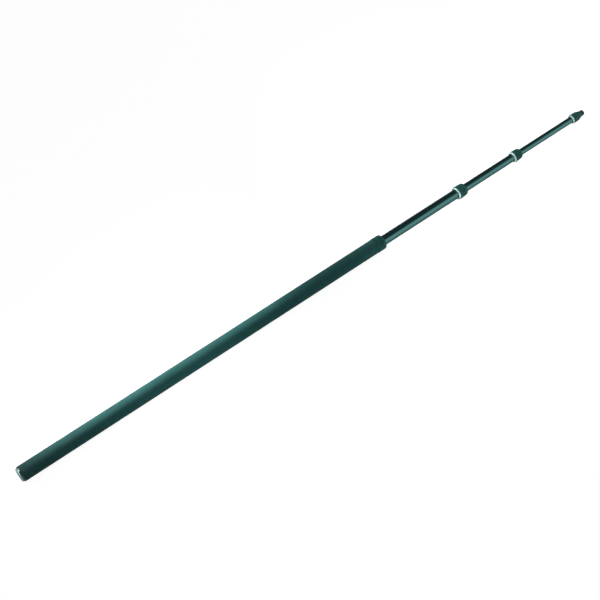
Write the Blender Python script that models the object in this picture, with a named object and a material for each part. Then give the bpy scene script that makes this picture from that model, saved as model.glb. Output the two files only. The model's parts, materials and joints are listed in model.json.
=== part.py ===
"""A hand-held boom pole: four telescoping tubes with a foam grip, three twist locks and a microphone stud.

The pole lies along +X, from its butt at x = 0 to its tip, and all its pieces are turned about the X axis.
The sections are drawn out part of the way. Lengths are in metres.
"""

import math
from collections import namedtuple

import bmesh
import bpy
from mathutils import Matrix, Vector

# How round the turned pieces are
SEGMENTS = 32
ARC_STEPS = 3
SHARP_ANGLE = math.radians(35)
WELD_DISTANCE = 1e-6

# Clearances
FIT_GAP = 0.0003
RING_GAP = 0.00025
HEAD_GAP = 0.00045
NOSE_GAP = 0.0006

# Tubes, from the inside out: each next tube is one step larger
TIP_TUBE_RADIUS = 0.0087
TUBE_WALL = 0.0012
TUBE_STEP_GAP = 0.0009
SECOND_TUBE_LENGTH = 0.970
THIRD_TUBE_LENGTH = 0.920
TIP_TUBE_LENGTH = 0.875

# Length of each drawn-out tube that shows between a lock nut and the next ring
SECOND_SHOWN = 0.2445
THIRD_SHOWN = 0.1673
TIP_SHOWN = 0.1881

# Foam grip
FOAM_LENGTH = 1.0148
FOAM_THICKNESS = 0.0038
FOAM_ROUND = 0.0018

# Butt cap and the rubber stop inside it
CAP_FACE_RADIUS = 0.0095
CAP_DOME_LENGTH = 0.0040
CAP_DOME_RADIUS = 0.0174
CAP_GROOVE_WIDTH = 0.0009
CAP_GROOVE_DEPTH = 0.0012
CAP_FLANGE_LENGTH = 0.0024
CAP_FLANGE_RADIUS = 0.0189
CAP_EDGE = 0.0006
CAP_FLOOR = 0.0060
CAP_SPIGOT_LENGTH = 0.018
CAP_WALL = 0.0020
BUMPER_PROUD = 0.0025
BUMPER_CHAMFER = 0.0015

# Collets: a nylon sleeve on a tube's end, with a bright ring behind the nut and split fingers in front
COLLET_WALL = 0.0016
RING_LENGTH = 0.0044
RING_STEP = 0.0009
RING_CHAMFER = 0.0005
TUBE_SEAT = 0.0100
BARREL_LENGTH = 0.0130
FINGER_LENGTH = 0.0075
FINGER_TIP = 0.0012
SLOT_COUNT = 6
SLOT_WIDTH = 0.0012
SLOT_ROOT = 0.0010

# Lock nuts and the ribbed rubber sleeves round them
HANDLE_NUT_WALL = 0.0025
SECOND_NUT_WALL = 0.0026
THIRD_NUT_WALL = 0.0022
HANDLE_NUT_TAPER = 0.0003
NUT_TAPER = 0.0010
NUT_LENGTH = 0.0252
THIRD_NUT_LENGTH = 0.0233
NUT_CHAMFER = 0.0006
NUT_NOSE = 0.0055
NUT_NOSE_LIP = 0.0012
NUT_REAR_RIM = 0.0035
NUT_FRONT_RIM = 0.0025
NUT_END_ROOM = 0.0006
SLEEVE_THICKNESS = 0.0011
RIB_COUNT = 32
RIB_DEPTH = 0.0005
RIB_TOP_SHARE = 0.42
RIB_FLANK_SHARE = 0.14

# Guide plugs in the tubes' rear ends, and the split rings that run on the next tube
PLUG_HEAD_LENGTH = 0.060
PLUG_SPIGOT_LENGTH = 0.016
PLUG_WALL = 0.0020
PLUG_CHAMFER = 0.0005
GUIDE_RING_LENGTH = 0.0120
GUIDE_RING_INSET = 0.0060
GUIDE_GROOVE_DEPTH = 0.0014
GUIDE_RING_SPLIT = 0.0020

# Tip: bright ring, tapered socket and the stud with the microphone thread
TIP_RING_LENGTH = 0.0040
TIP_RING_STEP = 0.0022
SOCKET_WALL = 0.0036
SOCKET_SEAT = 0.0140
SOCKET_BARREL = 0.0168
SOCKET_TAPER = 0.0003
SOCKET_CONE = 0.0125
SOCKET_CHAMFER = 0.0006
SHOULDER_WIDTH = 0.0006
STUD_RADIUS = 0.00794
STUD_LENGTH = 0.0109
STUD_ROUND = 0.0026
STUD_NECK_LENGTH = 0.0016
STUD_NECK_DEPTH = 0.0009
STUD_SHANK_RADIUS = 0.0047

# Radii that follow from the tubes
THIRD_TUBE_RADIUS = TIP_TUBE_RADIUS + TUBE_STEP_GAP + TUBE_WALL
SECOND_TUBE_RADIUS = THIRD_TUBE_RADIUS + TUBE_STEP_GAP + TUBE_WALL
HANDLE_TUBE_RADIUS = SECOND_TUBE_RADIUS + TUBE_STEP_GAP + TUBE_WALL

# Stations along the pole
CAP_LENGTH = CAP_DOME_LENGTH + CAP_GROOVE_WIDTH + CAP_FLANGE_LENGTH
FOAM_START = CAP_LENGTH + FIT_GAP
HANDLE_NUT_START = FOAM_START + FOAM_LENGTH + FIT_GAP
SECOND_NUT_START = HANDLE_NUT_START + NUT_LENGTH + SECOND_SHOWN + RING_LENGTH + FIT_GAP
THIRD_NUT_START = SECOND_NUT_START + NUT_LENGTH + THIRD_SHOWN + RING_LENGTH + FIT_GAP
TIP_RING_START = THIRD_NUT_START + THIRD_NUT_LENGTH + TIP_SHOWN
SOCKET_START = TIP_RING_START + TIP_RING_LENGTH + FIT_GAP
HANDLE_TUBE_LENGTH = HANDLE_NUT_START + TUBE_SEAT - FIT_GAP - FOAM_START
SECOND_TUBE_START = SECOND_NUT_START + TUBE_SEAT - FIT_GAP - SECOND_TUBE_LENGTH
THIRD_TUBE_START = THIRD_NUT_START + TUBE_SEAT - FIT_GAP - THIRD_TUBE_LENGTH
TIP_TUBE_START = SOCKET_START + SOCKET_SEAT - FIT_GAP - TIP_TUBE_LENGTH
FINGER_END = BARREL_LENGTH + FINGER_LENGTH

# A twist lock: the tube that carries it, the tube that it clamps, and its nut
Lock = namedtuple("Lock", "name tube_radius inner_radius ring_length start length wall taper")
LOCKS = (
    Lock(
        "handle",
        HANDLE_TUBE_RADIUS,
        SECOND_TUBE_RADIUS,
        0.0,
        HANDLE_NUT_START,
        NUT_LENGTH,
        HANDLE_NUT_WALL,
        HANDLE_NUT_TAPER,
    ),
    Lock(
        "second",
        SECOND_TUBE_RADIUS,
        THIRD_TUBE_RADIUS,
        RING_LENGTH,
        SECOND_NUT_START,
        NUT_LENGTH,
        SECOND_NUT_WALL,
        NUT_TAPER,
    ),
    Lock(
        "third",
        THIRD_TUBE_RADIUS,
        TIP_TUBE_RADIUS,
        RING_LENGTH,
        THIRD_NUT_START,
        THIRD_NUT_LENGTH,
        THIRD_NUT_WALL,
        NUT_TAPER,
    ),
)


def remove_old_objects():
    for old in list(bpy.data.objects):
        bpy.data.objects.remove(old, do_unlink=True)


def linear(level):
    return level / 12.92 if level <= 0.04045 else ((level + 0.055) / 1.055) ** 2.4


def material(name, colour, roughness, metallic):
    """A plain material, its colour given as six hex digits."""
    made = bpy.data.materials.new(name)
    made.use_nodes = True
    shader = made.node_tree.nodes["Principled BSDF"]
    channels = [linear(int(colour[i : i + 2], 16) / 255) for i in (0, 2, 4)]
    shader.inputs["Base Color"].default_value = (*channels, 1.0)
    shader.inputs["Roughness"].default_value = roughness
    shader.inputs["Metallic"].default_value = metallic
    return made


def axis_empty(name, station, parent=None):
    """An empty on the pole's axis, which carries the pieces that move together."""
    empty = bpy.data.objects.new(name, None)
    empty.empty_display_size = HANDLE_TUBE_RADIUS
    bpy.context.collection.objects.link(empty)
    return put(empty, station, parent)


def put(item, station, parent):
    """Put an object on the axis at a station and hand it to its parent without moving it."""
    item.location = (station, 0.0, 0.0)
    item.parent = parent
    bpy.context.view_layer.update()
    if parent:
        item.matrix_parent_inverse = parent.matrix_world.inverted()
    return item


def finish(name, shape, station, parent, skin):
    """Turn a bmesh into a named object on the axis, shaded smooth over its round faces."""
    bmesh.ops.recalc_face_normals(shape, faces=shape.faces)
    mesh = bpy.data.meshes.new(name)
    shape.to_mesh(mesh)
    shape.free()
    mesh.shade_smooth()
    mesh.set_sharp_from_angle(angle=SHARP_ANGLE)
    mesh.materials.append(skin)
    made = bpy.data.objects.new(name, mesh)
    bpy.context.collection.objects.link(made)
    return put(made, station, parent)


def arc(centre, radii, start, end):
    """Points along an elliptical arc in the (x, radius) plane, between two angles in degrees."""
    points = []
    for step in range(ARC_STEPS + 1):
        angle = math.radians(start + (end - start) * step / ARC_STEPS)
        x = centre[0] + radii[0] * math.cos(angle)
        radius = centre[1] + radii[1] * math.sin(angle)
        points.append((x, radius))
    return points


def turned(name, outline, station, parent, skin, gap_angle=0.0):
    """Spin an outline of (x, radius) points about the axis, leaving a gap for a split ring.

    An outline that starts and ends on the axis makes a solid piece, and any other is closed to a ring.
    A flat of the turned piece, not a corner, faces down.
    """
    shape = bmesh.new()
    corners = [shape.verts.new((x, 0.0, radius)) for x, radius in outline]
    edges = [shape.edges.new(pair) for pair in zip(corners, corners[1:])]
    if outline[0][1] > 0.0:
        edges.append(shape.edges.new((corners[-1], corners[0])))
    half_step = math.pi / SEGMENTS
    bmesh.ops.rotate(shape, cent=(0, 0, 0), verts=corners, matrix=Matrix.Rotation(half_step, 3, "X"))
    if gap_angle:
        bmesh.ops.contextual_create(shape, geom=edges)
    bmesh.ops.spin(
        shape,
        geom=list(shape.verts) + list(shape.edges) + list(shape.faces),
        cent=(0, 0, 0),
        axis=(1, 0, 0),
        angle=math.tau - gap_angle,
        steps=SEGMENTS,
        use_merge=not gap_angle,
    )
    bmesh.ops.remove_doubles(shape, verts=shape.verts, dist=WELD_DISTANCE)
    return finish(name, shape, station, parent, skin)


def tube(name, radius, length, station, parent, skin):
    inner = radius - TUBE_WALL
    outline = [(0.0, inner), (0.0, radius), (length, radius), (length, inner)]
    return turned(name, outline, station, parent, skin)


def foam_grip(parent, skin):
    inner = HANDLE_TUBE_RADIUS + FIT_GAP
    outer = inner + FOAM_THICKNESS
    rounding = (FOAM_ROUND, FOAM_ROUND)
    outline = [(0.0, inner)]
    outline += arc((FOAM_ROUND, outer - FOAM_ROUND), rounding, 180, 90)
    outline += arc((FOAM_LENGTH - FOAM_ROUND, outer - FOAM_ROUND), rounding, 90, 0)
    outline.append((FOAM_LENGTH, inner))
    return turned("foam_grip", outline, FOAM_START, parent, skin)


def butt_cap(parent, skin):
    """A domed plug with a flat end, a groove, a flange against the foam and a hollow spigot in the tube."""
    spigot = HANDLE_TUBE_RADIUS - TUBE_WALL - FIT_GAP
    groove = CAP_DOME_RADIUS - CAP_GROOVE_DEPTH
    flange_start = CAP_DOME_LENGTH + CAP_GROOVE_WIDTH
    spigot_end = CAP_LENGTH + CAP_SPIGOT_LENGTH
    dome = (CAP_DOME_LENGTH, CAP_DOME_RADIUS - CAP_FACE_RADIUS)
    outline = [(0.0, 0.0)]
    outline += arc((CAP_DOME_LENGTH, CAP_FACE_RADIUS), dome, 180, 90)
    outline += [(CAP_DOME_LENGTH, groove), (flange_start, groove)]
    outline += [(flange_start, CAP_FLANGE_RADIUS - CAP_EDGE), (flange_start + CAP_EDGE, CAP_FLANGE_RADIUS)]
    outline += [(CAP_LENGTH, CAP_FLANGE_RADIUS), (CAP_LENGTH, spigot), (spigot_end, spigot)]
    outline += [(spigot_end, spigot - CAP_WALL), (CAP_FLOOR, spigot - CAP_WALL), (CAP_FLOOR, 0.0)]
    return turned("butt_cap", outline, 0.0, parent, skin)


def cap_bumper(parent, skin):
    """A rubber stop in the hollow spigot, standing a little proud of it, for the collapsed sections."""
    radius = HANDLE_TUBE_RADIUS - TUBE_WALL - FIT_GAP - CAP_WALL - FIT_GAP
    start = CAP_FLOOR + FIT_GAP
    length = CAP_LENGTH + CAP_SPIGOT_LENGTH + BUMPER_PROUD - start
    outline = [(0.0, 0.0), (0.0, radius), (length - BUMPER_CHAMFER, radius)]
    outline += [(length, radius - BUMPER_CHAMFER), (length, 0.0)]
    return turned("cap_bumper", outline, start, parent, skin)


def barrel_radius(lock):
    return lock.tube_radius + FIT_GAP + COLLET_WALL


def nut_radius(lock, x):
    """The nut's outer radius, which tapers from its rear face to the start of its nose."""
    rear = barrel_radius(lock) + FIT_GAP + lock.wall
    return rear - lock.taper * x / (lock.length - NUT_NOSE)


def slot_cutter(lock, parent):
    """Boxes round the axis, one for each slot between a collet's fingers."""
    reach = barrel_radius(lock) - lock.inner_radius
    start = BARREL_LENGTH - SLOT_ROOT
    length = FINGER_END - start + SLOT_WIDTH
    middle = Vector((start + length / 2, 0.0, lock.inner_radius + reach / 2))
    shape = bmesh.new()
    for index in range(SLOT_COUNT):
        turn = Matrix.Rotation(math.tau * index / SLOT_COUNT, 4, "X")
        size = Matrix.Diagonal((length, SLOT_WIDTH, reach + 2 * SLOT_WIDTH, 1.0))
        bmesh.ops.create_cube(shape, size=1.0, matrix=turn @ Matrix.Translation(middle) @ size)
    mesh = bpy.data.meshes.new(f"{lock.name}_slots")
    shape.to_mesh(mesh)
    shape.free()
    cutter = bpy.data.objects.new(f"{lock.name}_slots", mesh)
    cutter.hide_render = True
    cutter.display_type = "WIRE"
    bpy.context.collection.objects.link(cutter)
    return put(cutter, lock.start, parent)


def collet(lock, parent, skin):
    """The threaded sleeve on a tube's front end: a ring behind the nut, a barrel and split conical fingers."""
    seat = lock.tube_radius + FIT_GAP
    barrel = barrel_radius(lock)
    bore = lock.inner_radius + FIT_GAP
    outline = [(TUBE_SEAT, bore), (TUBE_SEAT, seat)]
    if lock.ring_length:
        rear = -FIT_GAP - lock.ring_length
        ring = barrel + RING_STEP
        outline += [(rear, seat), (rear, ring - RING_CHAMFER), (rear + RING_CHAMFER, ring)]
        outline += [(-FIT_GAP, ring), (-FIT_GAP, barrel)]
    else:
        outline += [(0.0, seat), (0.0, barrel)]
    outline += [(BARREL_LENGTH, barrel), (FINGER_END, bore + FINGER_TIP), (FINGER_END, bore)]
    made = turned(f"{lock.name}_collet", outline, lock.start, parent, skin)
    slots = made.modifiers.new("finger_slots", "BOOLEAN")
    slots.operation = "DIFFERENCE"
    slots.object = slot_cutter(lock, parent)
    return made


def lock_nut(lock, parent, skin):
    """A nut over the collet: threaded bore, clamping cone, a seat for the rubber sleeve and a round nose."""
    bore = barrel_radius(lock) + FIT_GAP
    small = lock.inner_radius + FIT_GAP + FINGER_TIP + FIT_GAP
    nose_bore = lock.inner_radius + NOSE_GAP
    shoulder = FINGER_END + NUT_END_ROOM
    seat_depth = SLEEVE_THICKNESS + FIT_GAP
    seat_start = NUT_REAR_RIM
    nose_start = lock.length - NUT_NOSE
    seat_end = nose_start - NUT_FRONT_RIM
    front = nose_bore + NUT_NOSE_LIP
    outline = [(0.0, bore), (0.0, nut_radius(lock, 0.0) - NUT_CHAMFER)]
    outline += [(NUT_CHAMFER, nut_radius(lock, NUT_CHAMFER)), (seat_start, nut_radius(lock, seat_start))]
    outline += [(seat_start, nut_radius(lock, seat_start) - seat_depth)]
    outline += [(seat_end, nut_radius(lock, seat_end) - seat_depth), (seat_end, nut_radius(lock, seat_end))]
    outline += arc((nose_start, front), (NUT_NOSE, nut_radius(lock, nose_start) - front), 90, 0)
    outline += [(lock.length, nose_bore), (shoulder, nose_bore)]
    outline += [(shoulder, small), (FINGER_END, small), (BARREL_LENGTH, bore)]
    return turned(f"{lock.name}_nut", outline, lock.start, parent, skin)


def rib_ring(shape, radius):
    """A closed loop of edges with ribs: each rib has a top, two flanks and half a groove on each side."""
    corners = []
    step = math.tau / RIB_COUNT
    top = RIB_TOP_SHARE / 2
    foot = top + RIB_FLANK_SHARE
    for index in range(RIB_COUNT):
        for share, depth in ((-foot, RIB_DEPTH), (-top, 0.0), (top, 0.0), (foot, RIB_DEPTH)):
            angle = (index + share) * step
            reach = radius - depth
            corners.append(shape.verts.new((0.0, reach * math.sin(angle), reach * math.cos(angle))))
    return [shape.edges.new(pair) for pair in zip(corners, corners[1:] + corners[:1])]


def plain_ring(shape, radius):
    """A closed loop of edges round the axis, with a flat facing down."""
    corners = []
    for index in range(SEGMENTS):
        angle = (index + 0.5) * math.tau / SEGMENTS
        corners.append(shape.verts.new((0.0, radius * math.sin(angle), radius * math.cos(angle))))
    return [shape.edges.new(pair) for pair in zip(corners, corners[1:] + corners[:1])]


def nut_sleeve(lock, parent, skin):
    """A ribbed rubber sleeve in the nut's seat, flush with the rims on both sides of it."""
    start = NUT_REAR_RIM + FIT_GAP
    end = lock.length - NUT_NOSE - NUT_FRONT_RIM - FIT_GAP
    taper = nut_radius(lock, end) / nut_radius(lock, start)
    shape = bmesh.new()
    edges = rib_ring(shape, nut_radius(lock, start))
    edges += plain_ring(shape, nut_radius(lock, start) - SLEEVE_THICKNESS)
    rear = bmesh.ops.bridge_loops(shape, edges=edges)["faces"]
    drawn = bmesh.ops.extrude_face_region(shape, geom=rear, use_keep_orig=True)["geom"]
    front = [item for item in drawn if isinstance(item, bmesh.types.BMVert)]
    bmesh.ops.scale(shape, vec=(1.0, taper, taper), verts=front)
    bmesh.ops.translate(shape, vec=(end - start, 0.0, 0.0), verts=front)
    return finish(f"{lock.name}_nut_sleeve", shape, lock.start + start, parent, skin)


def guide_groove(radius):
    """Radius of the guide ring's groove in the plug of a tube of this outer radius."""
    return radius + TUBE_STEP_GAP - HEAD_GAP - GUIDE_GROOVE_DEPTH


def guide_plug(name, radius, station, parent, skin):
    """A hollow plug in a tube's rear end, with a long head that fills the next tube's bore."""
    spigot = radius - TUBE_WALL - FIT_GAP
    head = radius + TUBE_STEP_GAP - HEAD_GAP
    bore = spigot - PLUG_WALL
    rear = -FIT_GAP - PLUG_HEAD_LENGTH
    groove_start = rear + GUIDE_RING_INSET - FIT_GAP
    groove_end = groove_start + GUIDE_RING_LENGTH + 2 * FIT_GAP
    groove = guide_groove(radius)
    outline = [(rear, bore), (rear, head - PLUG_CHAMFER), (rear + PLUG_CHAMFER, head)]
    outline += [(groove_start, head), (groove_start, groove), (groove_end, groove), (groove_end, head)]
    outline += [(-FIT_GAP, head), (-FIT_GAP, spigot), (PLUG_SPIGOT_LENGTH, spigot)]
    outline.append((PLUG_SPIGOT_LENGTH, bore))
    return turned(name, outline, station, parent, skin)


def guide_ring(name, radius, station, parent, skin):
    """A split ring in the plug's groove, which runs on the bore of the next tube."""
    inner = guide_groove(radius) + FIT_GAP
    outer = radius + TUBE_STEP_GAP - RING_GAP
    outline = [(0.0, inner), (0.0, outer), (GUIDE_RING_LENGTH, outer), (GUIDE_RING_LENGTH, inner)]
    start = station - FIT_GAP - PLUG_HEAD_LENGTH + GUIDE_RING_INSET
    return turned(name, outline, start, parent, skin, gap_angle=GUIDE_RING_SPLIT / outer)


def tip_ring(parent, skin):
    inner = TIP_TUBE_RADIUS + FIT_GAP
    outer = inner + TIP_RING_STEP
    outline = [(0.0, inner), (0.0, outer - RING_CHAMFER), (RING_CHAMFER, outer)]
    outline += [(TIP_RING_LENGTH, outer), (TIP_RING_LENGTH, inner)]
    return turned("tip_ring", outline, TIP_RING_START, parent, skin)


def tip_socket(parent, skin):
    """A tapered fitting on the last tube's end, with a flat shoulder and a hole for the stud's shank."""
    seat = TIP_TUBE_RADIUS + FIT_GAP
    outer = seat + SOCKET_WALL
    hole = STUD_SHANK_RADIUS + FIT_GAP
    end = SOCKET_BARREL + SOCKET_CONE
    outline = [(0.0, seat), (0.0, outer - SOCKET_CHAMFER), (SOCKET_CHAMFER, outer)]
    outline += [(SOCKET_BARREL, outer - SOCKET_TAPER), (end, STUD_RADIUS + SHOULDER_WIDTH), (end, hole)]
    outline += [(SOCKET_SEAT, hole), (SOCKET_SEAT, seat)]
    return turned("tip_socket", outline, SOCKET_START, parent, skin)


def mic_stud(parent, skin):
    """The stud for the microphone: a shank in the socket, a neck, the thread's full width and a round end."""
    shank_length = SOCKET_BARREL + SOCKET_CONE - SOCKET_SEAT
    neck = STUD_RADIUS - STUD_NECK_DEPTH
    base = shank_length + FIT_GAP
    end = base + STUD_LENGTH
    outline = [(0.0, 0.0), (0.0, STUD_SHANK_RADIUS), (base, STUD_SHANK_RADIUS), (base, neck)]
    outline += [(base + STUD_NECK_LENGTH, neck), (base + STUD_NECK_LENGTH + STUD_NECK_DEPTH, STUD_RADIUS)]
    outline += arc((end - STUD_ROUND, STUD_RADIUS - STUD_ROUND), (STUD_ROUND, STUD_ROUND), 90, 0)
    outline.append((end, 0.0))
    return turned("mic_stud", outline, SOCKET_START + SOCKET_SEAT, parent, skin)


def twist_lock(lock, parent, skins):
    """A collet on the section's tube, and a nut with its rubber sleeve on an axis of their own."""
    collet(lock, parent, skins["nylon"])
    axis = axis_empty(f"{lock.name}_nut_axis", lock.start, parent)
    lock_nut(lock, axis, skins["plastic"])
    nut_sleeve(lock, axis, skins["rubber"])


def section(name, radius, length, station, parent, skins):
    """A sliding tube with its guide plug, and the guide ring that slides with it; gives its axis."""
    ring_axis = axis_empty(f"{name}_slide_axis", station, parent)
    guide_ring(f"{name}_guide_ring", radius, station, ring_axis, skins["acetal"])
    axis = axis_empty(f"{name}_turn_axis", station, ring_axis)
    tube(f"{name}_tube", radius, length, station, axis, skins["tube"])
    guide_plug(f"{name}_guide_plug", radius, station, axis, skins["acetal"])
    return axis


def build():
    remove_old_objects()
    skins = {
        "tube": material("black_anodised_aluminium", "0B2422", 0.18, 0.6),
        "foam": material("black_closed_cell_foam", "2C4A48", 0.85, 0.0),
        "plastic": material("black_moulded_plastic", "12302E", 0.45, 0.0),
        "rubber": material("black_ribbed_rubber", "1B3836", 0.75, 0.0),
        "nylon": material("white_nylon", "E6F2F0", 0.4, 0.0),
        "acetal": material("natural_acetal", "D8DCD6", 0.35, 0.0),
        "cap": material("satin_black_cap", "1D3A39", 0.3, 0.0),
        "stud": material("black_steel_stud", "15201F", 0.3, 0.8),
    }
    handle = axis_empty("handle_axis", 0.0)
    butt_cap(handle, skins["cap"])
    cap_bumper(handle, skins["rubber"])
    tube("handle_tube", HANDLE_TUBE_RADIUS, HANDLE_TUBE_LENGTH, FOAM_START, handle, skins["tube"])
    foam_grip(handle, skins["foam"])

    second = section("second", SECOND_TUBE_RADIUS, SECOND_TUBE_LENGTH, SECOND_TUBE_START, handle, skins)
    third = section("third", THIRD_TUBE_RADIUS, THIRD_TUBE_LENGTH, THIRD_TUBE_START, second, skins)
    tip = section("tip", TIP_TUBE_RADIUS, TIP_TUBE_LENGTH, TIP_TUBE_START, third, skins)
    for lock, carrier in zip(LOCKS, (handle, second, third)):
        twist_lock(lock, carrier, skins)

    tip_ring(tip, skins["nylon"])
    tip_socket(tip, skins["plastic"])
    mic_stud(tip, skins["stud"])


build()
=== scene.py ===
"""Looks of a hand-held boom pole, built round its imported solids.

The pole lies along +X, from its butt at x = 0 to its tip, and all its pieces are turned about
the X axis. Lengths are in metres.
"""

import json
import math

import bmesh
import bpy
from mathutils import Euler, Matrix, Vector


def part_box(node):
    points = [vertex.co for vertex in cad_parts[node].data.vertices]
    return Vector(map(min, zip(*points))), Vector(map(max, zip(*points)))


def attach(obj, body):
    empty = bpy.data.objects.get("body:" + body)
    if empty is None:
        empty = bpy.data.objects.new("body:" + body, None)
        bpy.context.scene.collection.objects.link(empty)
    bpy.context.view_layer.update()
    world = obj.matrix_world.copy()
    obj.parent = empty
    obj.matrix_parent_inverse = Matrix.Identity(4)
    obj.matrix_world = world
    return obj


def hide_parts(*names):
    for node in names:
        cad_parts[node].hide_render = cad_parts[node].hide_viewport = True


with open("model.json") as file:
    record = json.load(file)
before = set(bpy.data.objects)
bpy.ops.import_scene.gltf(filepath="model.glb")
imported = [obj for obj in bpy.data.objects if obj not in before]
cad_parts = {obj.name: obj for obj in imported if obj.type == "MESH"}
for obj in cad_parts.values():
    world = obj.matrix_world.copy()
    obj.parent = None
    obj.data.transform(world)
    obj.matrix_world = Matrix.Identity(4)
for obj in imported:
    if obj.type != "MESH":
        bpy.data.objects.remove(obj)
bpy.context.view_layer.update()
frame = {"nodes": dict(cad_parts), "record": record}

MM = 0.001
INCH = 25.4 * MM

# The pole's sections, from the grip to the tip: all but the last end in a lock, and all but the
# first slide
SECTIONS = ("handle", "second", "third", "tip")
LOCKED = SECTIONS[:-1]
SLIDING = SECTIONS[1:]

# How finely the pieces are turned
ROUND_SEGMENTS = 128
RIBBED_SEGMENTS = 384
EASE_STEPS = 4
NOSE_STEPS = 12
SHARP_ANGLE = math.radians(32)
WELD_DISTANCE = 1e-7

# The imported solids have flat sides, one of them on top, so their boxes fall this short of round
SOLID_SIDES = 32
FLAT_SHARE = math.cos(math.pi / SOLID_SIDES)

# Clearances and walls that the solids use
FIT_GAP = 0.3 * MM
NOSE_GAP = 0.6 * MM
TUBE_WALL = 1.2 * MM
COLLET_WALL = 1.6 * MM

# Roundings of edges
TUBE_EDGE = 0.25 * MM
TURNED_EDGE = 0.15 * MM
MOULDED_EDGE = 0.2 * MM
RING_ROUND = 0.6 * MM
REAR_ROUND = 0.7 * MM

# Foam grip: rounded ends, and the slow waves that its soft wall lies in
FOAM_ROUND = 1.8 * MM
FOAM_BORE_EDGE = 0.3 * MM
FOAM_ROW = 4 * MM
FOAM_SWELL = 0.12 * MM
FOAM_SWELL_LENGTH = 55 * MM
FOAM_RUN_OUT = 4 * FOAM_ROUND

# Butt cap: a rounded end, a groove, a flange, and a hollow spigot inside the tube
CAP_FACE_RADIUS = 9.5 * MM
CAP_DOME_LENGTH = 4.0 * MM
CAP_DOME_RADIUS = 17.4 * MM
CAP_GROOVE_WIDTH = 0.9 * MM
CAP_GROOVE_DEPTH = 1.2 * MM
CAP_FLANGE_LENGTH = 2.4 * MM
CAP_FLANGE_RADIUS = 18.9 * MM
CAP_FLANGE_ROUND = 1.2 * MM
CAP_RIM_ROUND = 0.4 * MM
CAP_FLOOR = 6.0 * MM
CAP_FLOOR_EDGE = 0.3 * MM
CAP_WALL = 2.0 * MM

# Collets: a ring behind the nut, a seat on the tube, a threaded barrel and spring fingers
RING_STEP = 0.9 * MM
TUBE_SEAT = 10.0 * MM
BARREL_LENGTH = 13.0 * MM
FINGER_END = 20.5 * MM
FINGER_TIP = 1.2 * MM
SLOT_COUNT = 6
SLOT_WIDTH = 1.2 * MM
SLOT_START = 12.0 * MM

# Threads and ribs have a crest and a root: the shares of a pitch, from the middle of a crest,
# at which the crest ends and the root begins
LOCK_PITCH = 2.5 * MM
LOCK_DEPTH = 0.6 * MM
LOCK_CREST = 0.12
LOCK_ROOT = 0.38
LOCK_ROW = 0.3 * MM

# Lock nuts and their ribbed sleeves
NUT_TAPER = {"handle": 0.3 * MM, "second": 1.0 * MM, "third": 1.0 * MM}
NUT_NOSE = 5.5 * MM
NUT_NOSE_LIP = 1.2 * MM
NUT_REAR_RIM = 3.5 * MM
NUT_FRONT_RIM = 2.5 * MM
NUT_END_ROOM = 0.6 * MM
SLEEVE_THICKNESS = 1.1 * MM
SLEEVE_ROUND = 0.4 * MM
SLEEVE_BORE_EDGE = 0.1 * MM
RIB_COUNT = 32
RIB_DEPTH = 0.5 * MM
RIB_CREST = 0.21
RIB_ROOT = 0.35
RIB_RUN_OUT = 1.2 * MM
RIB_ROW = 0.5 * MM
RIB_WALL_ROOM = 0.6 * SLEEVE_THICKNESS

# Tip: a tapered socket, and a stud with a 5/8 inch screw of 27 turns to the inch
SOCKET_SEAT = 14.0 * MM
SOCKET_BARREL = 16.8 * MM
SOCKET_TAPER = 0.3 * MM
SOCKET_WAIST_ROUND = 2.0 * MM
SOCKET_FRONT_ROUND = 0.6 * MM
SHOULDER_WIDTH = 0.6 * MM
STUD_RADIUS = 7.94 * MM
STUD_SHANK_RADIUS = 4.7 * MM
STUD_ROUND = 2.6 * MM
STUD_EDGE = 0.2 * MM
STUD_NECK_LENGTH = 1.6 * MM
STUD_NECK_DEPTH = 0.9 * MM
STUD_PITCH = INCH / 27
STUD_DEPTH = 0.55 * MM
STUD_CREST = 0.06
STUD_ROOT = 0.44
STUD_ROW = STUD_PITCH / 8

# Sizes of the finishes' patterns. Foam cells, draw lines, mould grain and tool rings are finer
# than this on a real pole, and are drawn coarse so that they show
FOAM_CELL = 1.1 * MM
FOAM_CLOUD = 38 * MM
DRAW_LINE_LENGTH = 160 * MM
DRAW_LINE_WIDTH = 1.5 * MM
MOULD_GRAIN = 0.4 * MM
MOULD_FLOW = 9 * MM
RUBBER_DUST = 2.2 * MM
TOOL_RING = 0.5 * MM
NYLON_CLOUD = 6 * MM
CAP_CLOUD = 5 * MM
SCRATCH_SIZES = (4 * MM, 9 * MM, 0.4 * MM)
SCRATCH_TURN = 0.7
# Fade of the cap's grey end, which is scuffing and partly a painted reflection
GREY_END_FADE = 0.6 * MM
OXIDE_FILM = 1.5 * MM
RUB_LENGTH = 30 * MM
RUB_WIDTH = 2 * MM

# The levels between which nearly all of a noise lies
NOISE_LOW = 0.3
NOISE_HIGH = 0.7

# Camera, from the photo
CAMERA_AZIMUTH = math.radians(-37.552)
CAMERA_ELEVATION = math.radians(57.226)
CAMERA_DISTANCE = 2.8644
CAMERA_TARGET = Vector((0.7767, -0.0129, 0.0))
CAMERA_LENS = 70.8
CAMERA_SENSOR = 36.0

# Floor: its grey, how much the camera sees it lifted to white, and how bright it is in glossy
# pieces on the pole's far side, on its near side, and behind its butt
FLOOR_SIZE = 20.0
FLOOR_GREY = 0.4
FLOOR_TO_CAMERA = 0.90
FLOOR_FAR = 0.05
FLOOR_NEAR = 0.33
FLOOR_BEHIND = 0.6
# Where those sides begin and are complete: y for the near side, x behind the butt
FLOOR_NEAR_FROM, FLOOR_NEAR_TO = 0.02, -0.02
FLOOR_BEHIND_FROM, FLOOR_BEHIND_TO = 0.02, -0.01

# Surround: its light on matt pieces, and what glossy pieces show of it, which is a white card
# low down on the near side and behind the butt, and dark elsewhere
SURROUND_ON_MATT = 0.19
SURROUND_DARK = 0.09
SURROUND_CARD = 1.04
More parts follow.
